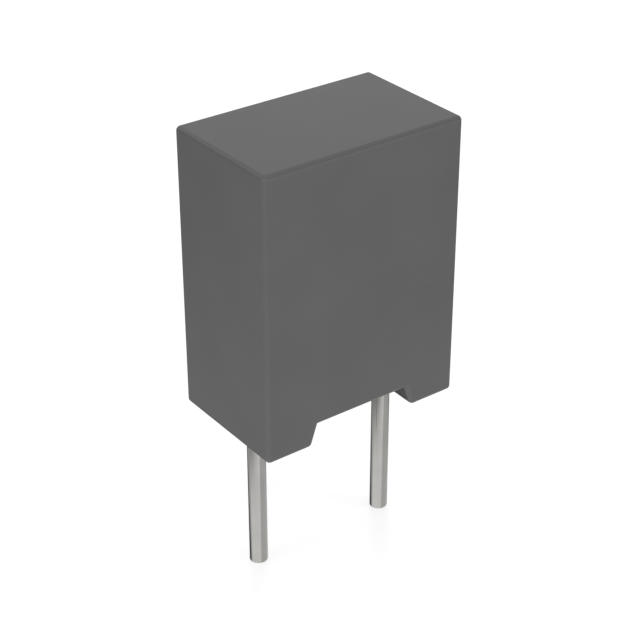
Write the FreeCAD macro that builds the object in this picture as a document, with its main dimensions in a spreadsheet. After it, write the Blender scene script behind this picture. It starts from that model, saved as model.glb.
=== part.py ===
import FreeCAD, Part
import math
import os
import Sketcher
from FreeCAD import Vector

# Box film capacitor with radial leads, in millimetres.
# The origin is midway between the two leads, on the seating plane under the feet.
# +X runs along the row of leads, +Y through the thickness and +Z away from the board.

# Driving sizes: alias, value, what it is
SIZES = [
    ("lead_pitch", "5.0", "between the axes of the two leads"),
    ("end_margin", "1.1", "from a lead axis to the end of the case"),
    ("case_thickness", "4.5", "case, across the row of leads"),
    ("case_height", "9.5", "case, above the board"),
    ("wall_thickness", "0.45", "case wall at the mouth"),
    ("roof_thickness", "0.5", "closed end of the case"),
    ("edge_radius", "0.15", "outer edges of the case, round its channel too"),
    ("draft_angle", "0.5", "draft of the cavity, in degrees"),
    ("cavity_corner", "0.3", "upright corners of the cavity, at the mouth"),
    ("channel_height", "0.72", "standoff channel, from the board to its ceiling"),
    ("flank_angle", "19.5", "slope of the channel's flanks from upright, in degrees"),
    ("foot_radius", "0.17", "inner bottom edge of each foot"),
    ("lead_cover", "0.24", "between a lead and the channel, at the board"),
    ("resin_sink", "0.04", "resin below the rim of the case"),
    ("lead_diameter", "0.6", "round wire"),
    ("lead_reach", "5.4", "wire below the board plane"),
    ("tip_break", "0.03", "broken edge of the sheared tip"),
    ("neck_cover", "0.06", "round wire inside the resin"),
    ("neck_length", "0.8", "from the round wire to the flat blade"),
    ("blade_thickness", "0.36", "pressed end of the wire"),
    ("blade_corner", "0.12", "edges of the pressed end"),
    ("blade_rise", "3.6", "pressed end, above the bottom of the roll"),
    ("weld_depth", "0.05", "pressed end, sunk into the sprayed metal"),
    ("spray_thickness", "0.32", "sprayed metal on an end of the roll"),
    ("spray_margin", "0.08", "bare edge of the roll round the sprayed metal"),
    ("roll_floor", "0.6", "resin from the channel to the roll"),
    ("roll_roof_gap", "0.25", "resin from the roll to the closed end"),
    ("roll_side_gap", "0.1", "resin from the roll to the wall, at the closed end"),
    ("film_step", "0.04", "step where the outer film ends"),
    ("slot_width", "0.1", "collapsed slot left by the winding mandrel"),
]

# Places worked out from the driving sizes, as expressions of the sheet
CASE_LENGTH = "(Sizes.lead_pitch + 2 * Sizes.end_margin)"
CAVITY_LENGTH = f"({CASE_LENGTH} - 2 * Sizes.wall_thickness)"
CAVITY_WIDTH = "(Sizes.case_thickness - 2 * Sizes.wall_thickness)"
CAVITY_DEPTH = "(Sizes.case_height - Sizes.roof_thickness)"
CHANNEL_MOUTH = "(Sizes.lead_pitch - Sizes.lead_diameter - 2 * Sizes.lead_cover)"
CHANNEL_CEILING = f"({CHANNEL_MOUTH} - 2 * Sizes.channel_height * tan(Sizes.flank_angle))"
ROLL_BOTTOM = "(Sizes.channel_height + Sizes.roll_floor)"
ROLL_TOP = f"({CAVITY_DEPTH} - Sizes.roll_roof_gap)"
ROLL_DRAFT_LOSS = f"({CAVITY_DEPTH} * tan(Sizes.draft_angle))"
ROLL_WIDTH = f"({CAVITY_WIDTH} - 2 * {ROLL_DRAFT_LOSS} - 2 * Sizes.roll_side_gap)"
ROLL_MIDDLE = f"(({ROLL_BOTTOM} + {ROLL_TOP}) / 2)"
ROLL_HEIGHT = f"({ROLL_TOP} - {ROLL_BOTTOM})"
SPRAY_FACE = "(Sizes.lead_pitch / 2 - Sizes.blade_thickness / 2 + Sizes.weld_depth)"
ROLL_END = f"({SPRAY_FACE} - Sizes.spray_thickness)"
NECK_START = "(Sizes.resin_sink + Sizes.neck_cover)"
NECK_END = f"({NECK_START} + Sizes.neck_length)"
BLADE_TOP = f"({ROLL_BOTTOM} + Sizes.blade_rise)"

# The wire keeps its area of section where it is pressed flat
WIRE_AREA = "(pi * Sizes.lead_diameter ^ 2 / 4)"
BLADE_WIDTH = f"(({WIRE_AREA} + (4 - pi) * Sizes.blade_corner ^ 2) / Sizes.blade_thickness)"

SIDES = {"left": -1, "right": 1}

doc = FreeCAD.newDocument("box_film_capacitor")
sheet = doc.addObject("Spreadsheet::Sheet", "Sizes")
for row, (alias, value, note) in enumerate(SIZES, start=1):
    sheet.set(f"A{row}", note)
    sheet.set(f"B{row}", value)
    sheet.setAlias(f"B{row}", alias)
doc.recompute()


def number(expression):
    """The present value of an expression of the sheet, to start a sketch near its final shape."""
    return float(sheet.evalExpression(expression))


def new_body(label):
    """An empty body, named and labelled for its piece."""
    body = doc.addObject("PartDesign::Body", label)
    body.Label = label
    return body


def new_sketch(body, name, plane, offset=None):
    """A sketch on one of the body's origin planes, or moved along that plane's normal by an offset."""
    sketch = body.newObject("Sketcher::SketchObject", name)
    support = [face for face in body.Origin.OriginFeatures if face.Role == plane]
    sketch.AttachmentSupport = [(support[0], "")]
    sketch.MapMode = "FlatFace"
    if offset:
        sketch.setExpression("AttachmentOffset.Base.z", offset)
    return sketch


def bind(sketch, name, expression, kind, *places):
    """A named dimension of a sketch that follows an expression of the sheet."""
    value = number(expression)
    if kind == "Angle":
        value = math.radians(value)
    index = sketch.addConstraint(Sketcher.Constraint(kind, *places, value))
    sketch.renameConstraint(index, name)
    unit = " * 1 deg" if kind == "Angle" else ""
    sketch.setExpression(f"Constraints.{name}", f"({expression}){unit}")


def join(sketch, kind, *places):
    """A constraint with no value, such as Tangent or Vertical."""
    return sketch.addConstraint(Sketcher.Constraint(kind, *places))


def line(sketch, start, end):
    """A line between two points of a sketch."""
    return sketch.addGeometry(Part.LineSegment(Vector(*start, 0), Vector(*end, 0)))


def arc(sketch, centre, radius, start, end):
    """An arc of a sketch, anticlockwise between two angles in degrees."""
    circle = Part.Circle(Vector(*centre, 0), Vector(0, 0, 1), radius)
    return sketch.addGeometry(Part.ArcOfCircle(circle, math.radians(start), math.radians(end)))


def rounded_rectangle(sketch, width, height, radius):
    """A rectangle with round corners, centred on the sketch's origin. Takes three expressions."""
    half_width = number(width) / 2
    half_height = number(height) / 2
    corner = number(radius)
    inner_x = half_width - corner
    inner_y = half_height - corner
    quadrants = [(1, 1), (-1, 1), (-1, -1), (1, -1)]
    arcs = []
    for turn, (side_x, side_y) in enumerate(quadrants):
        centre = (side_x * inner_x, side_y * inner_y)
        arcs.append(arc(sketch, centre, corner, 90 * turn, 90 * turn + 90))
    top = line(sketch, (inner_x, half_height), (-inner_x, half_height))
    left = line(sketch, (-half_width, inner_y), (-half_width, -inner_y))
    bottom = line(sketch, (-inner_x, -half_height), (inner_x, -half_height))
    right = line(sketch, (half_width, -inner_y), (half_width, inner_y))
    for turn, side in enumerate([top, left, bottom, right]):
        join(sketch, "Tangent", arcs[turn], 2, side, 1)
        join(sketch, "Tangent", side, 2, arcs[(turn + 1) % 4], 1)
    for side in (top, bottom):
        join(sketch, "Horizontal", side)
    for side in (left, right):
        join(sketch, "Vertical", side)
    for other in arcs[1:]:
        join(sketch, "Equal", arcs[0], other)
    join(sketch, "Symmetric", arcs[0], 3, arcs[2], 3, -1, 1)
    bind(sketch, "corner", radius, "Radius", arcs[0])
    bind(sketch, "width", width, "DistanceX", left, 1, right, 1)
    bind(sketch, "height", height, "DistanceY", bottom, 1, top, 1)


def stadium(sketch, width, height, middle):
    """An upright slot shape with round ends. Takes its width, height and height of middle."""
    radius = number(width) / 2
    centre = number(middle)
    reach = number(height) / 2 - radius
    upper = arc(sketch, (0, centre + reach), radius, 0, 180)
    left = line(sketch, (-radius, centre + reach), (-radius, centre - reach))
    lower = arc(sketch, (0, centre - reach), radius, 180, 360)
    right = line(sketch, (radius, centre - reach), (radius, centre + reach))
    outline = [upper, left, lower, right]
    for turn, piece in enumerate(outline):
        join(sketch, "Tangent", piece, 2, outline[(turn + 1) % 4], 1)
    join(sketch, "Vertical", left)
    join(sketch, "PointOnObject", upper, 3, -2)
    join(sketch, "PointOnObject", lower, 3, -2)
    bind(sketch, "radius", f"{width} / 2", "Radius", upper)
    bind(sketch, "upper", f"{middle} + {height} / 2 - {width} / 2", "DistanceY", -1, 1, upper, 3)
    bind(sketch, "lower", f"{middle} - {height} / 2 + {width} / 2", "DistanceY", -1, 1, lower, 3)


def roll_outline(sketch):
    """The flattened roll seen along its winding axis, with the step where its outer film ends."""
    radius = number(ROLL_WIDTH) / 2
    step = number("Sizes.film_step")
    middle = number(ROLL_MIDDLE)
    reach = number(ROLL_HEIGHT) / 2
    thin = radius - step / 2
    upper = arc(sketch, (0, middle + reach - radius), radius, 0, 180)
    left = line(sketch, (-radius, middle + reach - radius), (-radius, middle - reach + thin))
    lower = arc(sketch, (-step / 2, middle - reach + thin), thin, 180, 360)
    inner = line(sketch, (radius - step, middle - reach + thin), (radius - step, middle))
    ledge = line(sketch, (radius - step, middle), (radius, middle))
    outer = line(sketch, (radius, middle), (radius, middle + reach - radius))
    for first, second in ((upper, left), (left, lower), (lower, inner), (outer, upper)):
        join(sketch, "Tangent", first, 2, second, 1)
    join(sketch, "Coincident", inner, 2, ledge, 1)
    join(sketch, "Coincident", ledge, 2, outer, 1)
    join(sketch, "Horizontal", ledge)
    for side in (left, inner, outer):
        join(sketch, "Vertical", side)
    join(sketch, "PointOnObject", upper, 3, -2)
    lower_radius = f"({ROLL_WIDTH} / 2 - Sizes.film_step / 2)"
    bind(sketch, "radius", f"{ROLL_WIDTH} / 2", "Radius", upper)
    bind(sketch, "step", "Sizes.film_step", "DistanceX", ledge, 1, ledge, 2)
    bind(sketch, "seam", ROLL_MIDDLE, "DistanceY", -1, 1, ledge, 1)
    bind(sketch, "upper", f"{ROLL_TOP} - {ROLL_WIDTH} / 2", "DistanceY", -1, 1, upper, 3)
    bind(sketch, "lower", f"{ROLL_BOTTOM} + {lower_radius}", "DistanceY", -1, 1, lower, 3)


def channel_outline(sketch):
    """The standoff channel seen through the thickness, with the rounded inner edge of each foot."""
    height = number("Sizes.channel_height")
    slope = number("Sizes.flank_angle")
    radius = number("Sizes.foot_radius")
    mouth = number(CHANNEL_MOUTH) / 2
    ceiling = number(CHANNEL_CEILING) / 2
    below = number("Sizes.case_height")
    tangent = mouth + radius * math.tan(math.radians(45 - slope / 2))
    meet_x = tangent - radius * math.cos(math.radians(slope))
    meet_y = radius - radius * math.sin(math.radians(slope))
    roof = line(sketch, (-ceiling, height), (ceiling, height))
    right_flank = line(sketch, (ceiling, height), (meet_x, meet_y))
    right_edge = arc(sketch, (tangent, radius), radius, 180 + slope, 270)
    right_drop = line(sketch, (tangent, 0), (tangent, -below))
    floor = line(sketch, (tangent, -below), (-tangent, -below))
    left_drop = line(sketch, (-tangent, -below), (-tangent, 0))
    left_edge = arc(sketch, (-tangent, radius), radius, 270, 360 - slope)
    left_flank = line(sketch, (-meet_x, meet_y), (-ceiling, height))
    corners = [(roof, 2, right_flank, 1), (right_edge, 2, right_drop, 1), (right_drop, 2, floor, 1),
               (floor, 2, left_drop, 1), (left_drop, 2, left_edge, 1), (left_flank, 2, roof, 1)]
    for corner in corners:
        join(sketch, "Coincident", *corner)
    join(sketch, "Tangent", right_flank, 2, right_edge, 1)
    join(sketch, "Tangent", left_edge, 2, left_flank, 1)
    join(sketch, "Symmetric", roof, 1, roof, 2, -2)
    join(sketch, "Symmetric", floor, 1, floor, 2, -2)
    join(sketch, "Equal", left_edge, right_edge)
    for edge, drop, end in ((right_edge, right_drop, 2), (left_edge, left_drop, 1)):
        join(sketch, "Vertical", drop)
        join(sketch, "PointOnObject", edge, end, -1)
        join(sketch, "Vertical", edge, end, edge, 3)
    bind(sketch, "height", "Sizes.channel_height", "DistanceY", -1, 1, roof, 1)
    bind(sketch, "ceiling", CHANNEL_CEILING, "DistanceX", roof, 1, roof, 2)
    bind(sketch, "radius", "Sizes.foot_radius", "Radius", right_edge)
    bind(sketch, "slope", "90 + Sizes.flank_angle", "Angle", roof, 2, right_flank, 1)
    bind(sketch, "depth", "Sizes.case_height", "DistanceY", floor, 1, -1, 1)


def pad(body, name, sketch, length, both_ways=False, reverse=False):
    """A pad of a sketch, from its plane or half to each side of it."""
    feature = body.newObject("PartDesign::Pad", name)
    feature.Profile = sketch
    feature.setExpression("Length", length)
    feature.SideType = "Symmetric" if both_ways else "One side"
    feature.Reversed = reverse
    return feature


def cut_channel(body):
    """Cuts the standoff channel right through the thickness of a body."""
    sketch = new_sketch(body, f"{body.Label}_channel_sketch", "XZ_Plane")
    channel_outline(sketch)
    feature = body.newObject("PartDesign::Pocket", f"{body.Label}_channel")
    feature.Profile = sketch
    feature.SideType = "Symmetric"
    feature.Type = "ThroughAll"
    return feature


def cavity_sketch(body):
    """The mouth of the cavity, on the seating plane."""
    sketch = new_sketch(body, f"{body.Label}_mouth", "XY_Plane")
    rounded_rectangle(sketch, CAVITY_LENGTH, CAVITY_WIDTH, "Sizes.cavity_corner")
    return sketch


def make_case():
    """The moulded cup: block with a channel across its foot, rounded outer edges, drafted cavity."""
    body = new_body("case")
    outline = new_sketch(body, "case_outline", "XY_Plane")
    half_length = number(CASE_LENGTH) / 2
    half_width = number("Sizes.case_thickness") / 2
    corners = [(-half_length, -half_width), (half_length, -half_width),
               (half_length, half_width), (-half_length, half_width)]
    sides = [line(outline, corners[turn], corners[(turn + 1) % 4]) for turn in range(4)]
    for turn in range(4):
        join(outline, "Coincident", sides[turn], 2, sides[(turn + 1) % 4], 1)
        join(outline, "Vertical" if turn % 2 else "Horizontal", sides[turn])
    join(outline, "Symmetric", sides[0], 1, sides[2], 1, -1, 1)
    bind(outline, "length", CASE_LENGTH, "DistanceX", sides[0], 1, sides[0], 2)
    bind(outline, "thickness", "Sizes.case_thickness", "DistanceY", sides[1], 1, sides[1], 2)
    pad(body, "case_block", outline, "Sizes.case_height")
    channel = cut_channel(body)
    doc.recompute()
    rounding = body.newObject("PartDesign::Fillet", "case_rounding")
    rounding.Base = (channel, edges_on_sides(channel))
    rounding.setExpression("Radius", "Sizes.edge_radius")
    doc.recompute()
    cavity = body.newObject("PartDesign::Pocket", "case_cavity")
    cavity.Profile = cavity_sketch(body)
    cavity.Reversed = True
    cavity.setExpression("Length", CAVITY_DEPTH)
    cavity.setExpression("TaperAngle", "-Sizes.draft_angle")
    return body, [channel, rounding, cavity]


def edges_on_sides(feature):
    """Names of a feature's edges that lie in one of its four upright outer faces."""
    names = []
    whole = feature.Shape.BoundBox
    for place, edge in enumerate(feature.Shape.Edges, start=1):
        box = edge.BoundBox
        reaches = [(box.XMin, box.XMax, whole.XMin), (box.XMin, box.XMax, whole.XMax),
                   (box.YMin, box.YMax, whole.YMin), (box.YMin, box.YMax, whole.YMax)]
        if any(abs(low - side) + abs(high - side) < 0.001 for low, high, side in reaches):
            names.append(f"Edge{place}")
    return names


def make_roll(label):
    """The outer form of the flattened roll of film, which the resin is cast round."""
    body = new_body(label)
    sketch = new_sketch(body, f"{label}_outline", "YZ_Plane")
    roll_outline(sketch)
    pad(body, f"{label}_turns", sketch, f"2 * {ROLL_END}", both_ways=True)
    return body


def make_winding():
    """The roll of film with the slot that its flattened mandrel hole leaves."""
    body = make_roll("film_winding")
    sketch = new_sketch(body, "mandrel_slot_outline", "YZ_Plane")
    stadium(sketch, "Sizes.slot_width", f"({ROLL_HEIGHT} - {ROLL_WIDTH})", ROLL_MIDDLE)
    slot = body.newObject("PartDesign::Pocket", "mandrel_slot")
    slot.Profile = sketch
    slot.SideType = "Symmetric"
    slot.Type = "ThroughAll"
    return body, [slot]


def wire_section(sketch):
    """The round section of the wire, in eight arcs that face the sides and corners of the blade."""
    radius = number("Sizes.lead_diameter") / 2
    half_thickness = number("Sizes.blade_thickness") / 2
    half_width = number(BLADE_WIDTH) / 2
    corner = number("Sizes.blade_corner")
    side_end = math.degrees(math.atan2(half_width - corner, half_thickness))
    edge_end = math.degrees(math.atan2(half_width, half_thickness - corner))
    turns = [side_end, edge_end, 180 - edge_end, 180 - side_end]
    turns += [turn + 180 for turn in turns]
    arcs = []
    for start, end in zip(turns, turns[1:] + [turns[0] + 360]):
        arcs.append(arc(sketch, (0, 0), radius, start, end))
    for turn, piece in enumerate(arcs):
        join(sketch, "Coincident", piece, 2, arcs[(turn + 1) % 8], 1)
        join(sketch, "Coincident", piece, 3, -1, 1)
    for first, second in ((0, 3), (1, 2), (4, 7), (5, 6)):
        join(sketch, "Horizontal", arcs[first], 1, arcs[second], 1)
    for first, second in ((0, 7), (1, 6)):
        join(sketch, "Vertical", arcs[first], 1, arcs[second], 1)
    side_rise = f"({BLADE_WIDTH} / 2 - Sizes.blade_corner)"
    side_out = "(Sizes.blade_thickness / 2)"
    edge_rise = f"({BLADE_WIDTH} / 2)"
    edge_out = "(Sizes.blade_thickness / 2 - Sizes.blade_corner)"
    wire_radius = "(Sizes.lead_diameter / 2)"
    side_y = f"{wire_radius} * {side_rise} / sqrt({side_rise} ^ 2 + {side_out} ^ 2)"
    edge_x = f"{wire_radius} * {edge_out} / sqrt({edge_rise} ^ 2 + {edge_out} ^ 2)"
    bind(sketch, "radius", wire_radius, "Radius", arcs[0])
    bind(sketch, "side_end", side_y, "DistanceY", -1, 1, arcs[0], 1)
    bind(sketch, "edge_end", edge_x, "DistanceX", -1, 1, arcs[1], 1)


def make_lead(label, side):
    """A round wire with a sheared tip, a pressed neck and a flat blade. It lies about the Z axis."""
    body = new_body(label)
    body.setExpression("Placement.Base.x", f"{side} * Sizes.lead_pitch / 2")
    section = new_sketch(body, f"{label}_section", "XY_Plane", "-Sizes.lead_reach")
    centre = Vector(0, 0, 0)
    wire = section.addGeometry(Part.Circle(centre, Vector(0, 0, 1), number("Sizes.lead_diameter") / 2))
    join(section, "Coincident", wire, 3, -1, 1)
    bind(section, "radius", "Sizes.lead_diameter / 2", "Radius", wire)
    shank = pad(body, f"{label}_wire", section, f"Sizes.lead_reach + {NECK_START}")
    doc.recompute()
    tip = body.newObject("PartDesign::Chamfer", f"{label}_tip")
    tip.Base = (shank, edges_at_height(shank, -number("Sizes.lead_reach")))
    tip.setExpression("Size", "Sizes.tip_break")
    neck = body.newObject("PartDesign::AdditiveLoft", f"{label}_neck")
    round_end = new_sketch(body, f"{label}_round_end", "XY_Plane", NECK_START)
    wire_section(round_end)
    flat_end = new_sketch(body, f"{label}_flat_end", "XY_Plane", NECK_END)
    rounded_rectangle(flat_end, "Sizes.blade_thickness", BLADE_WIDTH, "Sizes.blade_corner")
    neck.Profile = round_end
    neck.Sections = [flat_end]
    neck.Ruled = True
    blade_end = new_sketch(body, f"{label}_blade_section", "XY_Plane", NECK_END)
    rounded_rectangle(blade_end, "Sizes.blade_thickness", BLADE_WIDTH, "Sizes.blade_corner")
    pad(body, f"{label}_blade", blade_end, f"{BLADE_TOP} - {NECK_END}")
    return body


def edges_at_height(feature, height):
    """Names of a feature's edges that lie level at a height."""
    names = []
    for place, edge in enumerate(feature.Shape.Edges, start=1):
        box = edge.BoundBox
        if max(abs(box.ZMin - height), abs(box.ZMax - height)) < 0.001:
            names.append(f"Edge{place}")
    return names


def make_contact_layer(side_name, lead):
    """The metal sprayed on one end of the roll, with the seat that the welded lead sinks into."""
    side = SIDES[side_name]
    label = f"contact_layer_{side_name}"
    spray = new_body(f"spray_{side_name}")
    sketch = new_sketch(spray, f"{label}_outline", "YZ_Plane", f"{side} * {ROLL_END}")
    width = f"({ROLL_WIDTH} - Sizes.film_step - 2 * Sizes.spray_margin)"
    stadium(sketch, width, f"({ROLL_HEIGHT} - Sizes.film_step - 2 * Sizes.spray_margin)", ROLL_MIDDLE)
    pad(spray, f"{label}_plate", sketch, "Sizes.spray_thickness", reverse=side < 0)
    layer = doc.addObject("Part::Cut", label)
    layer.Base = spray
    layer.Tool = lead
    layer.Label = label
    return layer


def make_resin(inner_pieces):
    """The cast resin: the cavity's own form, sunk below the rim, with the channel across it."""
    blank = new_body("resin_blank")
    casting = pad(blank, "resin_casting", cavity_sketch(blank), CAVITY_DEPTH)
    casting.setExpression("TaperAngle", "-Sizes.draft_angle")
    sink_sketch = new_sketch(blank, "resin_sink_outline", "XY_Plane")
    rounded_rectangle(sink_sketch, CASE_LENGTH, "Sizes.case_thickness", "Sizes.edge_radius")
    sink = blank.newObject("PartDesign::Pocket", "resin_surface")
    sink.Profile = sink_sketch
    sink.Reversed = True
    sink.setExpression("Length", "Sizes.resin_sink")
    channel = cut_channel(blank)
    space = doc.addObject("Part::MultiFuse", "space_in_resin")
    space.Shapes = inner_pieces
    resin = doc.addObject("Part::Cut", "resin_fill")
    resin.Base = blank
    resin.Tool = space
    resin.Label = "resin_fill"
    return resin, [sink, channel]


def check(pieces, cuts):
    """Stops if an object failed, a piece is not one sound solid, or a cut took nothing away."""
    for item in doc.Objects:
        if "Invalid" in item.State or "Error" in item.State:
            raise RuntimeError(f"{item.Label} failed: {item.State}")
    for cut in cuts:
        if cut.Shape.Volume > cut.BaseFeature.Shape.Volume - 0.001:
            raise RuntimeError(f"{cut.Label} cuts nothing")
    for piece in pieces:
        shape = piece.Shape
        if shape.isNull() or not shape.isValid() or len(shape.Solids) != 1:
            raise RuntimeError(f"{piece.Label} is not one sound solid")


case, case_cuts = make_case()
winding, winding_cuts = make_winding()
roll_space = make_roll("roll_space")
leads = {name: make_lead(f"lead_{name}", side) for name, side in SIDES.items()}
doc.recompute()
layers = {name: make_contact_layer(name, lead) for name, lead in leads.items()}
resin, resin_cuts = make_resin([roll_space, *layers.values(), *leads.values()])
doc.recompute()

sub_parts = [case, resin, winding, *layers.values(), *leads.values()]
check(sub_parts, case_cuts + winding_cuts + resin_cuts)
os.makedirs("parts", exist_ok=True)
for piece in sub_parts:
    piece.Shape.exportStep(f"parts/{piece.Label}.step")
    print(f"{piece.Label}: {piece.Shape.Volume:.4f} mm3, {len(piece.Shape.Faces)} faces")
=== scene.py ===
"""The looks of a box film capacitor: moulded case, cast resin and tinned leads."""

import logging
import math
from collections.abc import Callable, Iterator
from contextlib import contextmanager
from dataclasses import dataclass, field
from enum import Enum

import bmesh
import bpy
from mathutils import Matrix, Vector, noise


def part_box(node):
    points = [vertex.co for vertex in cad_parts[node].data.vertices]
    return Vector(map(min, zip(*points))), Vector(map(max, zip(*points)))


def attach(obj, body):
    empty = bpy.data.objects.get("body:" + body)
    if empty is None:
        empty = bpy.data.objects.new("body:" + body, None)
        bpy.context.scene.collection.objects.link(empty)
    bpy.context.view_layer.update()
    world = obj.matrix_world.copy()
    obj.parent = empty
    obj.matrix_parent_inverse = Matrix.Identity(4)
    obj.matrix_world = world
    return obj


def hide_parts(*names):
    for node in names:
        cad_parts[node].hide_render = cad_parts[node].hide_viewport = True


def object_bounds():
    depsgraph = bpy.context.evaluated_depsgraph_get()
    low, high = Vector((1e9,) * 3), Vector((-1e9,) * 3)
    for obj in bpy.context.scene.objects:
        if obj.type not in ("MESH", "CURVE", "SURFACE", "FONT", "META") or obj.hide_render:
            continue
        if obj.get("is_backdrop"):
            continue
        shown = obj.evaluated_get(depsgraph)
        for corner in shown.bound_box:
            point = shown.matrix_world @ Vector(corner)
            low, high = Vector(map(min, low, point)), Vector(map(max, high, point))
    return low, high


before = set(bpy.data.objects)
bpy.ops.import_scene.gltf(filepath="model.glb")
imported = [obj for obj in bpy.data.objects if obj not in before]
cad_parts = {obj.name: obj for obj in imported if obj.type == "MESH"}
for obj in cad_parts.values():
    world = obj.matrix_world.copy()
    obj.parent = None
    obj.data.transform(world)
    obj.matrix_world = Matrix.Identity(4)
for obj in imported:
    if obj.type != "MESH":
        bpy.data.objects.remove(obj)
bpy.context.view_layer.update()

logging.basicConfig(level=logging.INFO, format="%(message)s")
log = logging.getLogger("capacitor")

Tree = bpy.types.NodeTree
Socket = bpy.types.NodeSocket
Piece = bpy.types.Object

MM = 0.001
BODY = "root"
WHITE = (1.0, 1.0, 1.0, 1.0)

# Points that are nearer to each other than this are one point.
WELD = 0.0001 * MM
# The least share of an axis in a direction that counts as lying along it.
ALONG = 0.9
# The bevel profile that gives the arc of a circle.
ARC = 0.5
# A turn between two faces above this stays a sharp edge.
SHARP = math.radians(30)
# The values between which most of a noise pattern lies.
NOISE_LOW, NOISE_HIGH = 0.3, 0.7


class Element(Enum):
    """What an edit works on, with the name that a mesh gives its list of them."""

    VERTICES = "verts"
    EDGES = "edges"
    FACES = "faces"


class Combine(Enum):
    """How a second shape changes the first."""

    CUT = "DIFFERENCE"
    JOIN = "UNION"
    KEEP_COMMON = "INTERSECT"


def linear(colour: str) -> tuple[float, float, float, float]:
    """Turns an sRGB colour into the linear values that a shader takes.

    Args:
        colour: The colour as #RRGGBB.

    Returns:
        Red, green, blue and an alpha of one.
    """
    parts = [int(colour[place : place + 2], 16) / 255 for place in (1, 3, 5)]
    red, green, blue = (
        part / 12.92 if part <= 0.04045 else ((part + 0.055) / 1.055) ** 2.4 for part in parts
    )
    return (red, green, blue, 1.0)


def add_node(tree: Tree, kind: str, inputs: dict | None = None, **settings) -> bpy.types.Node:
    """Adds a node with its settings, its socket values and its links.

    Args:
        tree: The node tree.
        kind: The node's type, without its ShaderNode prefix.
        inputs: Socket name or number to a value, or to the socket that feeds it.
        **settings: The node's own properties.

    Returns:
        The new node.
    """
    node = tree.nodes.new(f"ShaderNode{kind}")
    for name, value in settings.items():
        setattr(node, name, value)
    for name, value in (inputs or {}).items():
        if isinstance(value, Socket):
            tree.links.new(value, node.inputs[name])
        else:
            node.inputs[name].default_value = value
    return node


def new_material(name: str) -> tuple[bpy.types.Material, Tree, Socket]:
    """Starts an empty material.

    Args:
        name: The real material and how it was made.

    Returns:
        The material, its node tree and the object coordinates in metres.
    """
    material = bpy.data.materials.new(name)
    material.use_nodes = True
    material.node_tree.nodes.clear()
    place = add_node(material.node_tree, "TexCoord").outputs["Object"]
    return material, material.node_tree, place


def finish_material(tree: Tree, inputs: dict) -> None:
    """Ends a material with a principled shader that takes the given values and links."""
    shader = add_node(tree, "BsdfPrincipled", inputs)
    add_node(tree, "OutputMaterial", {"Surface": shader.outputs["BSDF"]})


def noise_field(tree: Tree, place: Socket, size: float, detail: float = 2.0) -> Socket:
    """A noise pattern whose lumps are about one size.

    Args:
        tree: The node tree.
        place: The coordinates it reads, in metres.
        size: The size of its lumps, in metres.
        detail: How many finer octaves it holds.

    Returns:
        The pattern's value, from nought to one.
    """
    pattern = add_node(tree, "TexNoise", {"Vector": place, "Scale": 1 / size, "Detail": detail})
    return pattern.outputs["Fac"]


def between(tree: Tree, pattern: Socket, low: float, high: float) -> Socket:
    """Spreads a pattern's middle range over the values from low to high."""
    spread = add_node(tree, "MapRange", {"Value": pattern, "From Min": NOISE_LOW,
                                         "From Max": NOISE_HIGH, "To Min": low, "To Max": high})
    return spread.outputs["Result"]


def two_tone(tree: Tree, pattern: Socket, first: str, second: str) -> Socket:
    """Mixes two sRGB colours by a pattern."""
    share = between(tree, pattern, 0.0, 1.0)
    mix = add_node(tree, "Mix", {0: share, 6: linear(first), 7: linear(second)}, data_type="RGBA")
    return mix.outputs[2]


def bump(tree: Tree, height: Socket, depth: float) -> Socket:
    """Raises a pattern from the surface.

    Args:
        tree: The node tree.
        height: The pattern.
        depth: How far its value of one stands out, in metres.

    Returns:
        The changed normal.
    """
    raised = add_node(tree, "Bump", {"Height": height, "Distance": depth, "Strength": 1.0})
    return raised.outputs["Normal"]


@dataclass(frozen=True)
class MouldedPlastic:
    """Glass-filled polyester, injection moulded in a spark-eroded tool.

    To the eye it is an even satin grey without streaks, whose grain only just catches the light.
    The pits of such a tool are about 0.02 mm wide, too fine to show, so they are drawn coarser.
    """

    colour: str = "#5D5D5D"
    fleck: str = "#616161"
    ior: float = 1.55
    grain: float = 0.09 * MM
    grain_detail: float = 3.0
    grain_depth: float = 0.001 * MM
    cloud: float = 2.6 * MM
    roughness: tuple[float, float] = (0.28, 0.34)

    def material(self) -> bpy.types.Material:
        """Builds the plastic: a fine grain in its gloss and surface, and faint clouds of filler."""
        made, tree, place = new_material("polyester_moulded_satin")
        fine = noise_field(tree, place, self.grain, self.grain_detail)
        cloud = noise_field(tree, place, self.cloud)
        finish_material(tree, {
            "Base Color": two_tone(tree, cloud, self.colour, self.fleck),
            "Roughness": between(tree, fine, *self.roughness),
            "IOR": self.ior,
            "Normal": bump(tree, fine, self.grain_depth),
        })
        return made


@dataclass(frozen=True)
class CastResin:
    """Filled epoxy, poured and cured.

    To the eye it is a little glossier than the case, with slow waves and fine specks. Its colour is
    darker than the case's, partly as the epoxy's own and partly as painted shade for the channel.
    The specks are the coarsest grains of the filler, of 0.05 mm, and the waves are as the resin
    sets between wires and walls that stand about a millimetre apart.
    """

    # Darker than the case: partly the epoxy's own colour, partly painted shade standing for the
    # shadow in the channel under the part.
    colour: str = "#505152"
    speck: str = "#5C5D5F"
    ior: float = 1.55
    speck_size: float = 0.05 * MM
    speck_detail: float = 1.0
    wave: float = 0.9 * MM
    wave_depth: float = 0.004 * MM
    roughness: tuple[float, float] = (0.26, 0.36)

    def material(self) -> bpy.types.Material:
        """Builds the resin: filler specks under a surface that set in slow waves."""
        made, tree, place = new_material("epoxy_cast_filled")
        specks = noise_field(tree, place, self.speck_size, self.speck_detail)
        wave = noise_field(tree, place, self.wave)
        finish_material(tree, {
            "Base Color": two_tone(tree, specks, self.colour, self.speck),
            "Roughness": between(tree, wave, *self.roughness),
            "IOR": self.ior,
            "Normal": bump(tree, wave, self.wave_depth),
        })
        return made


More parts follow.
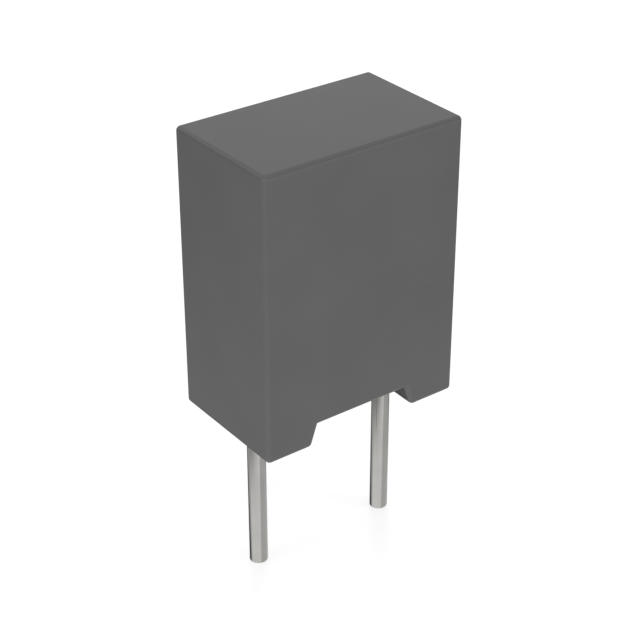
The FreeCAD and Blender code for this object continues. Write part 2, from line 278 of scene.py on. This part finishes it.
@dataclass(frozen=True)
class TinnedWire:
    """Copper wire, drawn and hot-dip tinned.

    To the eye it is a bright grey metal with soft streaks along its length. The lines of the
    drawing die are a few micrometres wide, too fine to show, so they are drawn coarser. The
    stretch makes them fifty times as long as wide.
    """

    bright: str = "#C1C0BD"
    dull: str = "#BBBAB7"
    streak: float = 0.05 * MM
    streak_stretch: float = 0.02
    streak_detail: float = 3.0
    streak_depth: float = 0.0008 * MM
    cloud: float = 0.8 * MM
    roughness: tuple[float, float] = (0.14, 0.2)

    def material(self) -> bpy.types.Material:
        """Builds the tin: streaks along the wire, and patches where the dip set duller."""
        made, tree, place = new_material("copper_wire_drawn_tinned")
        stretch = (1.0, 1.0, self.streak_stretch)
        along = add_node(tree, "Mapping", {"Vector": place, "Scale": stretch}).outputs["Vector"]
        streaks = noise_field(tree, along, self.streak, self.streak_detail)
        cloud = noise_field(tree, place, self.cloud)
        finish_material(tree, {
            "Base Color": two_tone(tree, cloud, self.bright, self.dull),
            "Metallic": 1.0,
            "Roughness": between(tree, streaks, *self.roughness),
            "Normal": bump(tree, streaks, self.streak_depth),
        })
        return made


@dataclass(frozen=True)
class SprayedZinc:
    """Zinc, arc sprayed.

    To the eye it is a matt, sandy skin. Its droplets flatten to about 0.07 mm where they land, and
    their shade changes over a few droplets.
    """

    light: str = "#A9AAAC"
    dark: str = "#8B8C8F"
    droplet: float = 0.07 * MM
    droplet_depth: float = 0.012 * MM
    cloud_droplets: int = 3
    roughness: tuple[float, float] = (0.5, 0.7)

    def material(self) -> bpy.types.Material:
        """Builds the zinc: droplets that differ in shade and stand out of the skin."""
        made, tree, place = new_material("zinc_arc_sprayed")
        cells = add_node(tree, "TexVoronoi", {"Vector": place, "Scale": 1 / self.droplet})
        cloud = noise_field(tree, place, self.cloud_droplets * self.droplet)
        finish_material(tree, {
            "Base Color": two_tone(tree, cloud, self.light, self.dark),
            "Metallic": 1.0,
            "Roughness": between(tree, cloud, *self.roughness),
            "Normal": bump(tree, cells.outputs["Distance"], self.droplet_depth),
        })
        return made


@dataclass(frozen=True)
class MetallisedFilm:
    """Polyester film with vacuum-deposited aluminium, wound and pressed.

    To the eye it is silvery, with the edges of its turns. The real film is about 0.005 mm thick,
    too fine to show, so each turn that is drawn stands for about twelve.
    """

    silver: str = "#B9B7B0"
    tint: str = "#A6A49B"
    turn: float = 0.06 * MM
    turn_depth: float = 0.004 * MM
    cloud: float = 0.7 * MM
    roughness: tuple[float, float] = (0.24, 0.34)

    def material(self, middle: Vector, straight: float) -> bpy.types.Material:
        """Builds the film: its turns lie round the roll's flat core.

        Args:
            middle: The middle of the roll, in metres.
            straight: Half the length of the core, along Z, in metres.

        Returns:
            The material.
        """
        made, tree, place = new_material("polyester_film_metallised_wound")
        axes = add_node(tree, "SeparateXYZ", {0: place})
        rise = add_node(tree, "Math", {0: axes.outputs["Z"], 1: middle.z}, operation="SUBTRACT")
        rise = add_node(tree, "Math", {0: rise.outputs[0]}, operation="ABSOLUTE")
        rise = add_node(tree, "Math", {0: rise.outputs[0], 1: straight}, operation="SUBTRACT")
        rise = add_node(tree, "Math", {0: rise.outputs[0], 1: 0.0}, operation="MAXIMUM")
        core = add_node(tree, "CombineXYZ", {0: axes.outputs["Y"], 1: rise.outputs[0]})
        out = add_node(tree, "VectorMath", {0: core.outputs[0]}, operation="LENGTH")
        turns = add_node(tree, "Math", {0: out.outputs["Value"], 1: 2 * math.pi / self.turn},
                         operation="MULTIPLY")
        edges = add_node(tree, "Math", {0: turns.outputs[0]}, operation="SINE")
        cloud = noise_field(tree, place, self.cloud)
        finish_material(tree, {
            "Base Color": two_tone(tree, cloud, self.silver, self.tint),
            "Metallic": 1.0,
            "Roughness": between(tree, cloud, *self.roughness),
            "Normal": bump(tree, edges.outputs[0], self.turn_depth),
        })
        return made


def activate(piece: Piece) -> None:
    """Deselects everything, then selects one object and makes it the active one."""
    bpy.ops.object.select_all(action="DESELECT")
    piece.select_set(True)
    bpy.context.view_layer.objects.active = piece


@contextmanager
def editing(piece: Piece) -> Iterator[None]:
    """Opens an object in edit mode with nothing selected, and closes it again."""
    activate(piece)
    bpy.ops.object.mode_set(mode="EDIT")
    bpy.ops.mesh.select_all(action="DESELECT")
    yield
    bpy.ops.object.mode_set(mode="OBJECT")


def choose(piece: Piece, element: Element, test: Callable[[Vector, Vector], bool]) -> None:
    """Selects the vertices, edges or faces that a test picks, in edit mode.

    Args:
        piece: The object in edit mode.
        element: What is selected.
        test: Takes an element's middle and its normal, or an edge's middle and its direction.
    """
    bpy.context.tool_settings.mesh_select_mode = [element is kind for kind in Element]
    bpy.ops.mesh.select_all(action="DESELECT")
    mesh = bmesh.from_edit_mesh(piece.data)
    mesh.normal_update()
    for item in getattr(mesh, element.value):
        if element is Element.FACES:
            found = test(item.calc_center_median(), item.normal)
        elif element is Element.EDGES:
            start, end = (vertex.co for vertex in item.verts)
            found = test((start + end) / 2, (end - start).normalized())
        else:
            found = test(item.co, item.normal)
        if found:
            item.select_set(True)
    mesh.select_flush_mode()
    bmesh.update_edit_mesh(piece.data)


def extrude(rise: float) -> None:
    """Extrudes what is selected, in edit mode, by a rise along Z."""
    bpy.ops.mesh.extrude_region_move(TRANSFORM_OT_translate={"value": (0, 0, rise)})


def round_edges(offset: float, segments: int) -> None:
    """Rounds the selected edges, in edit mode.

    Args:
        offset: How far the rounding reaches on both sides of an edge.
        segments: How many flats it has.
    """
    bpy.ops.mesh.bevel(offset=offset, segments=segments, profile=ARC, affect="EDGES",
                       clamp_overlap=False)


def add_block(name: str, low: Vector, high: Vector) -> Piece:
    """Adds a block between two corners, as the start of a piece.

    Args:
        name: The object's name.
        low: Its lowest corner.
        high: Its highest corner.

    Returns:
        The block, with its place in its mesh.
    """
    bpy.ops.object.select_all(action="DESELECT")
    bpy.ops.mesh.primitive_cube_add(size=1, location=(low + high) / 2, scale=high - low)
    block = bpy.context.active_object
    block.name = name
    bpy.ops.object.transform_apply(location=True, rotation=True, scale=True)
    return block


def apply_modifier(piece: Piece, kind: str, **settings) -> None:
    """Adds a modifier with its settings and applies it."""
    activate(piece)
    modifier = piece.modifiers.new(kind.lower(), kind)
    for name, value in settings.items():
        setattr(modifier, name, value)
    bpy.ops.object.modifier_apply(modifier=modifier.name)


def combine(piece: Piece, other: Piece, how: Combine) -> None:
    """Changes a piece by a second shape, which is deleted afterwards."""
    apply_modifier(piece, "BOOLEAN", object=other, operation=how.value, solver="EXACT")
    bpy.data.objects.remove(other, do_unlink=True)


def copy_solid(node: str) -> Piece:
    """Copies the closed mesh of a solid, as a shape to combine with a piece."""
    copy = bpy.data.objects.new(f"{node}_space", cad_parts[node].data.copy())
    bpy.context.scene.collection.objects.link(copy)
    merge_points(copy)
    return copy


def merge_points(piece: Piece) -> None:
    """Merges the doubled points of a piece."""
    with editing(piece):
        bpy.ops.mesh.select_all(action="SELECT")
        bpy.ops.mesh.remove_doubles(threshold=WELD)


def smooth(piece: Piece) -> None:
    """Merges doubled points and shades the round stretches smooth and the flats flat."""
    merge_points(piece)
    activate(piece)
    bpy.ops.object.shade_smooth_by_angle(angle=SHARP)
    apply_modifier(piece, "WEIGHTED_NORMAL", keep_sharp=True)


def dress(piece: Piece, material: bpy.types.Material, node: str) -> None:
    """Gives a piece its material and puts it in the place of a solid.

    Args:
        piece: The finished piece.
        material: Its finish.
        node: The solid that it stands for.
    """
    piece.data.materials.clear()
    piece.data.materials.append(material)
    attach(piece, BODY)
    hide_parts(node)
    log.info("%s: %d faces, for %s", piece.name, len(piece.data.polygons), node)


@dataclass
class Channel:
    """The standoff channel across the bottom: a trapezoid with the feet's inner edges rounded."""

    height: float = 0.72 * MM
    mouth: float = 3.92 * MM
    flank: float = math.radians(19.5)
    foot_radius: float = 0.17 * MM
    segments: int = 8
    # The share by which the cutter is wider than the rounded feet, so that no faces coincide.
    overrun: float = 1.001

    @property
    def ceiling(self) -> float:
        """The width of the channel's ceiling."""
        return self.mouth - 2 * self.height * math.tan(self.flank)

    @property
    def tangent(self) -> float:
        """How far a foot's rounded edge reaches from its corner."""
        return self.foot_radius * math.tan(math.pi / 4 - self.flank / 2)

    def cutter(self, depth: float) -> Piece:
        """Models the space that the channel takes out of a piece.

        Args:
            depth: Its length through the thickness.

        Returns:
            A closed shape that also reaches below the feet.
        """
        corner = self.mouth / 2
        half = Vector((corner, depth / 2, 0))
        block = add_block("channel_space", -half, half + Vector((0, 0, self.height)))
        narrow = self.ceiling / self.mouth
        flare = (corner + self.tangent * self.overrun) / corner
        with editing(block):
            choose(block, Element.FACES, lambda middle, normal: normal.z > ALONG)
            bpy.ops.transform.resize(value=(narrow, 1, 1), center_override=(0, 0, self.height))
            choose(block, Element.FACES, lambda middle, normal: normal.z < -ALONG)
            extrude(0)
            bpy.ops.transform.resize(value=(flare, 1, 1), center_override=(0, 0, 0))
            extrude(-self.height)
            choose(block, Element.EDGES, lambda middle, way: abs(way.y) > ALONG
                   and abs(middle.z) < WELD and abs(abs(middle.x) - corner) < WELD)
            round_edges(self.tangent, self.segments)
        return block

    def outline(self, steps: int) -> list[tuple[float, float]]:
        """The channel's profile from the start of one foot's rounding to the end of the other's.

        Args:
            steps: How many lengths the ceiling and each flank are divided into.

        Returns:
            Points as (x, z), from left to right.
        """
        centre = self.mouth / 2 + self.tangent
        points = []
        for step in range(self.segments + 1):
            turn = (math.pi / 2 - self.flank) * step / self.segments
            points.append((centre - self.foot_radius * math.sin(turn),
                           self.foot_radius * (1 - math.cos(turn))))
        start = points[-1]
        end = (self.ceiling / 2, self.height)
        for step in range(1, steps + 1):
            share = step / steps
            points.append(tuple(a + (b - a) * share for a, b in zip(start, end)))
        for step in range(1, steps // 2 + 1):
            points.append((end[0] * (1 - 2 * step / steps), self.height))
        return [(-x, z) for x, z in points[:-1]] + points[::-1]


@dataclass
class Cavity:
    """The drafted inside of the case, which the resin fills."""

    low: Vector
    high: Vector
    draft: float = math.radians(0.5)
    corner: float = 0.3 * MM
    segments: int = 8

    def block(self, name: str, below: float) -> Piece:
        """Models the inside as a solid.

        Args:
            name: The object's name.
            below: How far it reaches below the seating plane.

        Returns:
            A tapered block with rounded upright corners.
        """
        spread = below * math.tan(self.draft)
        shrink = (self.high.z + below) * math.tan(self.draft)
        low = Vector((self.low.x - spread, self.low.y - spread, -below))
        high = Vector((self.high.x + spread, self.high.y + spread, self.high.z))
        taper = (1 - shrink / high.x, 1 - shrink / high.y, 1)
        block = add_block(name, low, high)
        with editing(block):
            choose(block, Element.EDGES, lambda middle, way: abs(way.z) > ALONG)
            round_edges(self.corner, self.segments)
            choose(block, Element.FACES, lambda middle, normal: normal.z > ALONG)
            bpy.ops.transform.resize(value=taper, center_override=(0, 0, high.z))
        return block

    def wall_distance(self, x: float, y: float) -> float:
        """The distance from a point at the mouth to the nearest wall, with its rounded corners."""
        over_x = abs(x) - self.high.x + self.corner
        over_y = abs(y) - self.high.y + self.corner
        outside = math.hypot(max(over_x, 0.0), max(over_y, 0.0))
        return self.corner - outside - min(max(over_x, over_y), 0.0)


@dataclass
class MouldedCase:
    """The moulded cup: a block with the channel, rounded outer edges and the drafted cavity."""

    channel: Channel
    cavity: Cavity
    finish: MouldedPlastic
    edge_radius: float = 0.15 * MM
    segments: int = 8
    # Where the roundings of the channel meet the outer ones, points nearer than this are merged.
    crowding: float = 0.02 * MM
    margin: float = 1.0 * MM

    def build(self) -> None:
        """Models the cup and dresses it."""
        low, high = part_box("case")
        case = add_block("moulded_case", low, high)
        combine(case, self.channel.cutter(high.y - low.y + self.margin), Combine.CUT)
        with editing(case):
            choose(case, Element.EDGES, lambda middle, way: abs(abs(middle.x) - high.x) < WELD
                   or abs(abs(middle.y) - high.y) < WELD)
            round_edges(self.edge_radius, self.segments)
            choose(case, Element.VERTICES, lambda place, normal: abs(abs(place.y) - high.y) < WELD)
            bpy.ops.mesh.remove_doubles(threshold=self.crowding)
        combine(case, self.cavity.block("cavity_space", self.margin), Combine.CUT)
        smooth(case)
        dress(case, self.finish.material(), "case")


@dataclass
class Lead:
    """One wire: sheared round end, pressed neck and flat blade that is welded inside."""

    name: str
    node: str
    finish: TinnedWire
    blade_thickness: float = 0.36 * MM
    blade_corner: float = 0.12 * MM
    neck_start: float = 0.1 * MM
    neck_length: float = 0.8 * MM
    tip_break: float = 0.03 * MM
    tip_segments: int = 3
    sides: int = 64
    halvings: int = 40
    low: Vector = field(init=False)
    high: Vector = field(init=False)
    axis: float = field(init=False)
    radius: float = field(init=False)
    blade_width: float = field(init=False)

    def __post_init__(self) -> None:
        """Takes the wire's place and widths from its solid."""
        self.low, self.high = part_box(self.node)
        self.axis = (self.low.x + self.high.x) / 2
        self.radius = (self.high.x - self.low.x) / 2
        self.blade_width = self.high.y - self.low.y

    def blade_point(self, x: float, y: float) -> Vector:
        """The point of the blade's outline that lies in the direction of a point of the wire.

        Args:
            x: The point's place across the blade's thickness, from the wire's axis.
            y: Its place along the blade's width.

        Returns:
            The place on the outline, from the wire's axis.
        """
        inner_x = self.blade_thickness / 2 - self.blade_corner
        inner_y = self.blade_width / 2 - self.blade_corner
        inner = Vector((inner_x, inner_y))
        way = Vector((x, y)).normalized()
        low, high = 0.0, self.blade_width
        for _ in range(self.halvings):
            middle = (low + high) / 2
            over = Vector((max(abs(way.x) * middle - inner.x, 0.0),
                           max(abs(way.y) * middle - inner.y, 0.0)))
            low, high = (middle, high) if over.length < self.blade_corner else (low, middle)
        return way * low

    def build(self) -> None:
        """Models the wire upwards from its tip and dresses it."""
        length = self.neck_start - self.low.z
        neck_end = self.neck_start + self.neck_length
        bpy.ops.object.select_all(action="DESELECT")
        bpy.ops.mesh.primitive_cylinder_add(vertices=self.sides, radius=self.radius, depth=length,
                                            location=(self.axis, 0, self.low.z + length / 2))
        wire = bpy.context.active_object
        wire.name = self.name
        bpy.ops.object.transform_apply(location=True, rotation=True, scale=True)
        with editing(wire):
            choose(wire, Element.FACES, lambda middle, normal: normal.z > ALONG)
            extrude(self.neck_length)
            mesh = bmesh.from_edit_mesh(wire.data)
            for vertex in mesh.verts:
                if vertex.select:
                    flat = self.blade_point(vertex.co.x - self.axis, vertex.co.y)
                    vertex.co = Vector((self.axis + flat.x, flat.y, neck_end))
            bmesh.update_edit_mesh(wire.data)
            extrude(self.high.z - neck_end)
            choose(wire, Element.FACES, lambda middle, normal: normal.z < -ALONG)
            round_edges(self.tip_break, self.tip_segments)
        smooth(wire)
        dress(wire, self.finish.material(), self.node)


@dataclass
class WoundElement:
    """The roll and the zinc sprayed on its ends: they keep their solids and get their finish."""

    film: MetallisedFilm
    zinc: SprayedZinc
    roll: str = "film_winding"
    layers: tuple[str, str] = ("contact_layer_left", "contact_layer_right")

    def build(self) -> None:
        """Gives the roll and its two ends their materials."""
        low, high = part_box(self.roll)
        straight = ((high.z - low.z) - (high.y - low.y)) / 2
        film = self.film.material((low + high) / 2, straight)
        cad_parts[self.roll].material_slots[0].material = film
        zinc = self.zinc.material()
        for layer in self.layers:
            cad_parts[layer].material_slots[0].material = zinc
        log.info("%s: finished in place", ", ".join((self.roll, *self.layers)))


@dataclass
class ResinBody:
    """The cast resin: the cavity's form, sunk a little at its face, with the channel across it."""

    channel: Channel
    cavity: Cavity
    leads: list[Lead]
    element: WoundElement
    finish: CastResin
    rows: int = 60
    steps: int = 24
    sink: float = 0.012 * MM
    meniscus: float = 0.1 * MM
    ripple: float = 0.004 * MM
    ripple_size: float = 0.9 * MM
    margin: float = 0.3 * MM
    # A little more than half the thickness of the winding mandrel's slot, and a little less than
    # its distance from the roll's top and bottom.
    slot: float = 0.06 * MM
    slot_inset: float = 1.0 * MM

    def face_height(self, x: float, y: float, base: float) -> float:
        """How high the set face is: sunk, but less where it wets the wall and the wires.

        Args:
            x: The place along X.
            y: The place along Y.
            base: The height of the plain face there.

        Returns:
            The height of the set face.
        """
        edge = self.cavity.wall_distance(x, y)
        for lead in self.leads:
            edge = min(edge, abs(math.hypot(x - lead.axis, y) - lead.radius))
        sunk = self.sink * (1 - math.exp(-max(edge, 0.0) / self.meniscus))
        wave = noise.noise(Vector((x, y, base)) / self.ripple_size) * self.ripple
        return base + sunk + wave * min(max(edge, 0.0) / self.meniscus, 1.0)

    def profile(self, reach: float) -> list[tuple[float, float]]:
        """The plain face along X: the two feet and the channel between them.

        Args:
            reach: How far it goes to each side.

        Returns:
            Points as (x, z), from left to right.
        """
        channel = self.channel.outline(self.steps)
        foot = channel[-1][0]
        feet = [foot + (reach - foot) * step / self.steps for step in range(1, self.steps + 1)]
        return [(-x, 0.0) for x in feet[::-1]] + channel + [(x, 0.0) for x in feet]

    def poured(self) -> Piece:
        """Models the resin without what it holds, from a grid that is bent to the face."""
        low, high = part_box("resin_fill")
        top = high.z + self.margin
        profile = self.profile(high.x + self.margin)
        last = len(profile) - 1
        bpy.ops.object.select_all(action="DESELECT")
        # The grid goes from -1 to 1, and each of its columns takes one point of the profile.
        bpy.ops.mesh.primitive_grid_add(x_subdivisions=last, y_subdivisions=self.rows, size=2)
        resin = bpy.context.active_object
        resin.name = "cast_resin"
        for vertex in resin.data.vertices:
            x, base = profile[round((vertex.co.x + 1) / 2 * last)]
            y = vertex.co.y * (high.y + self.margin)
            vertex.co = (x, y, self.face_height(x, y, max(base, low.z)))
        with editing(resin):
            bpy.ops.mesh.select_all(action="SELECT")
            extrude(top)
            bpy.ops.transform.resize(value=(1, 1, 0), center_override=(0, 0, top))
            bpy.ops.mesh.select_all(action="SELECT")
            bpy.ops.mesh.normals_make_consistent(inside=False)
        combine(resin, self.cavity.block("resin_space", self.margin), Combine.KEEP_COMMON)
        return resin

    def held(self) -> Piece:
        """Joins copies of the solids that the resin holds to one shape."""
        held = copy_solid(self.element.roll)
        for node in (*self.element.layers, *(lead.node for lead in self.leads)):
            combine(held, copy_solid(node), Combine.JOIN)
        return held

    def empty_slot(self, resin: Piece) -> None:
        """Takes out what the cut left in the mandrel's slot, which stays hollow."""
        low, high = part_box(self.element.roll)
        with editing(resin):
            choose(resin, Element.VERTICES, lambda place, normal: abs(place.x) < high.x + WELD
                   and abs(place.y) < self.slot
                   and low.z + self.slot_inset < place.z < high.z - self.slot_inset)
            bpy.ops.mesh.delete(type="VERT")

    def build(self) -> None:
        """Models the resin, cuts what it holds out of it and dresses it."""
        resin = self.poured()
        combine(resin, self.held(), Combine.CUT)
        self.empty_slot(resin)
        smooth(resin)
        dress(resin, self.finish.material(), "resin_fill")


@dataclass(frozen=True)
class Stand:
    """A direction from the part, in degrees, where a lamp, a card or the camera faces it."""

    azimuth: float
    elevation: float

    @property
    def turn(self) -> tuple[float, float, float]:
        """The turn of an object that looks back from there."""
        return (math.pi / 2 - math.radians(self.elevation), 0.0, math.radians(self.azimuth))

    @property
    def way(self) -> Vector:
        """The unit direction from the part."""
        azimuth, elevation = math.radians(self.azimuth), math.radians(self.elevation)
        flat = math.cos(elevation)
        return Vector((math.sin(azimuth) * flat, -math.cos(azimuth) * flat, math.sin(elevation)))


@dataclass(frozen=True)
class Lamp:
    """A soft square lamp; its level is how white it makes a white card that faces it."""

    name: str
    stand: Stand
    level: float
    size: float = 50 * MM
    distance: float = 160 * MM

    def build(self) -> None:
        """Hangs the lamp and turns it to the part."""
        light = bpy.data.lights.new(self.name, "AREA")
        light.size = self.size
        light.energy = self.level * (math.pi * self.distance) ** 2
        lamp = bpy.data.objects.new(self.name, light)
        lamp.location = self.stand.way * self.distance
        lamp.rotation_euler = self.stand.turn
        lamp.visible_glossy = False
        bpy.context.scene.collection.objects.link(lamp)


@dataclass(frozen=True)
class Viewpoint:
    """The photo's camera, as the lines of the case's edges give it."""

    eye: tuple[float, float, float] = (-26.989 * MM, -36.192 * MM, 28.916 * MM)
    stand: Stand = Stand(-36.72, 30.08)
    lens: float = 94.06
    sensor: float = 36.0
    near: float = 1 * MM
    far: float = 10.0

    def build(self) -> None:
        """Sets up the camera and makes it the scene's."""
        data = bpy.data.cameras.new("photo_camera")
        data.lens, data.sensor_width = self.lens, self.sensor
        data.clip_start, data.clip_end = self.near, self.far
        camera = bpy.data.objects.new("photo_camera", data)
        camera.location = self.eye
        camera.rotation_euler = self.stand.turn
        bpy.context.scene.collection.objects.link(camera)
        bpy.context.scene.camera = camera


@dataclass(frozen=True)
class Card:
    """A round, soft-edged part of the studio that is brighter or dimmer than what is round it.

    The gain holds within the inner angle, in degrees, and fades out towards the outer one.
    """

    stand: Stand
    inner: float
    outer: float
    gain: float


@dataclass(frozen=True)
class Surroundings:
    """What the part reflects: a grey studio, darker below, with paler and darker cards round it."""

    ground: float = 0.124
    ground_cards: tuple[Card, ...] = (
        Card(Stand(-65, -30), 50, 56, 1.5),
        Card(Stand(0, -90), 48, 64, 5.0),
        Card(Stand(-143, -23), 6, 17, 1.8),
        Card(Stand(110, -14), 10, 20, 1.8),
        Card(Stand(-173, -48), 8, 20, 0.05),
    )
    sky: float = 0.5
    sky_cards: tuple[Card, ...] = (
        Card(Stand(172, 36), 38, 54, 1.5),
        Card(Stand(62, 56), 8, 22, 1.5),
        Card(Stand(33, -12), 12, 30, 1.15),
        Card(Stand(40, 29), 14, 28, 0.1),
        Card(Stand(-137, -2), 14, 28, 0.1),
    )
    # The heights of the unit direction between which the ground turns to sky.
    horizon: tuple[float, float] = (-0.36, -0.22)

    def tone(self, tree: Tree) -> Socket:
        """The brightness of the studio by direction.

        Args:
            tree: The world's node tree.

        Returns:
            The tone, where one is white.
        """
        way = add_node(tree, "TexCoord").outputs["Generated"]
        ground = self.layer(tree, way, self.ground, self.ground_cards)
        sky = self.layer(tree, way, self.sky, self.sky_cards)
        rise = add_node(tree, "SeparateXYZ", {0: way}).outputs["Z"]
        above = self.share(tree, rise, *self.horizon)
        return add_node(tree, "Mix", {0: above, 2: ground, 3: sky}).outputs[0]

    def layer(self, tree: Tree, way: Socket, plain: float, cards: tuple[Card, ...]) -> Socket:
        """Scales a plain tone by each card in turn.

        Args:
            tree: The world's node tree.
            way: The direction that is seen.
            plain: The tone outside all cards.
            cards: The cards.

        Returns:
            The tone.
        """
        tone = plain
        for card in cards:
            toward = add_node(tree, "VectorMath", {0: way, 1: card.stand.way},
                              operation="DOT_PRODUCT")
            rim, core = (math.cos(math.radians(angle)) for angle in (card.outer, card.inner))
            inside = self.share(tree, toward.outputs["Value"], rim, core)
            gain = add_node(tree, "Mix", {0: inside, 2: 1.0, 3: card.gain}).outputs[0]
            tone = add_node(tree, "Math", {0: tone, 1: gain}, operation="MULTIPLY").outputs[0]
        return tone

    def share(self, tree: Tree, measure: Socket, low: float, high: float) -> Socket:
        """Rises softly from nought to one while a measure goes from low to high."""
        step = add_node(tree, "MapRange", {"Value": measure, "From Min": low, "From Max": high},
                        interpolation_type="SMOOTHSTEP")
        return step.outputs["Result"]


@dataclass(frozen=True)
class Studio:
    """The plain white studio: a pale floor under the tips of the leads, soft lamps and a world."""

    view: Viewpoint = Viewpoint()
    surroundings: Surroundings = Surroundings()
    lamps: tuple[Lamp, ...] = (
        Lamp("key_lamp", Stand(-37, 12), 0.36),
        Lamp("front_lamp", Stand(37, 7), 0.27),
        Lamp("side_lamp", Stand(-100, 7), 0.17),
        Lamp("back_lamp", Stand(143, 8), 0.45),
    )
    floor_colour: str = "#D4D4D4"
    floor_size: float = 200 * MM
    floor_gap: float = 0.002 * MM
    floor_lift: float = 0.62
    ambient: float = 0.48

    def build(self) -> None:
        """Builds everything around the part."""
        self.view.build()
        for lamp in self.lamps:
            lamp.build()
        self.build_floor(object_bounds()[0][2] - self.floor_gap)
        self.build_world()
        bpy.context.scene.view_settings.view_transform = "Standard"

    def seen(self, tree: Tree) -> Socket:
        """One where the camera, a reflection or a glass sees a surface, nought where it lights."""
        path = add_node(tree, "LightPath").outputs
        either = add_node(tree, "Math", {0: path["Is Camera Ray"], 1: path["Is Glossy Ray"]},
                          operation="MAXIMUM")
        every = add_node(tree, "Math", {0: either.outputs[0], 1: path["Is Transmission Ray"]},
                         operation="MAXIMUM")
        return every.outputs[0]

    def build_floor(self, height: float) -> None:
        """Lays the floor: matt and pale, lifted to white where it is seen, so it keeps shadows."""
        bpy.ops.object.select_all(action="DESELECT")
        bpy.ops.mesh.primitive_plane_add(size=self.floor_size, location=(0, 0, height))
        floor = bpy.context.active_object
        floor.name = "studio_floor"
        material, tree, _ = new_material("paper_matt_white")
        matt = add_node(tree, "BsdfDiffuse", {"Color": linear(self.floor_colour)})
        lift = add_node(tree, "Math", {0: self.seen(tree), 1: self.floor_lift},
                        operation="MULTIPLY")
        glow = add_node(tree, "Emission", {"Color": WHITE, "Strength": lift.outputs[0]})
        both = add_node(tree, "AddShader", {0: matt.outputs[0], 1: glow.outputs[0]})
        add_node(tree, "OutputMaterial", {"Surface": both.outputs[0]})
        floor.data.materials.append(material)
        floor.visible_glossy = False
        floor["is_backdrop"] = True

    def build_world(self) -> None:
        """Sets the world: white where it is seen, the studio in reflections, and a soft light."""
        world = bpy.data.worlds.new("studio_world")
        world.use_nodes = True
        world.node_tree.nodes.clear()
        tree = world.node_tree
        tone = self.surroundings.tone(tree)
        soft, studio, white = (
            add_node(tree, "Background", {"Color": WHITE, "Strength": strength}).outputs[0]
            for strength in (self.ambient, tone, 1.0)
        )
        glossy = add_node(tree, "LightPath").outputs["Is Glossy Ray"]
        shown = add_node(tree, "MixShader", {0: glossy, 1: white, 2: studio}).outputs[0]
        mix = add_node(tree, "MixShader", {0: self.seen(tree), 1: soft, 2: shown})
        add_node(tree, "OutputWorld", {"Surface": mix.outputs[0]})
        bpy.context.scene.world = world


def main() -> None:
    """Builds the part and its studio."""
    channel = Channel()
    cavity = Cavity(*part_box("resin_fill"))
    wire = TinnedWire()
    leads = [Lead(f"tinned_lead_{side}", f"lead_{side}", wire) for side in ("left", "right")]
    element = WoundElement(MetallisedFilm(), SprayedZinc())
    case = MouldedCase(channel, cavity, MouldedPlastic())
    resin = ResinBody(channel, cavity, leads, element, CastResin())
    for assembly in (case, *leads, resin, element, Studio()):
        assembly.build()
    bpy.context.view_layer.update()


if __name__ == "__main__":
    main()
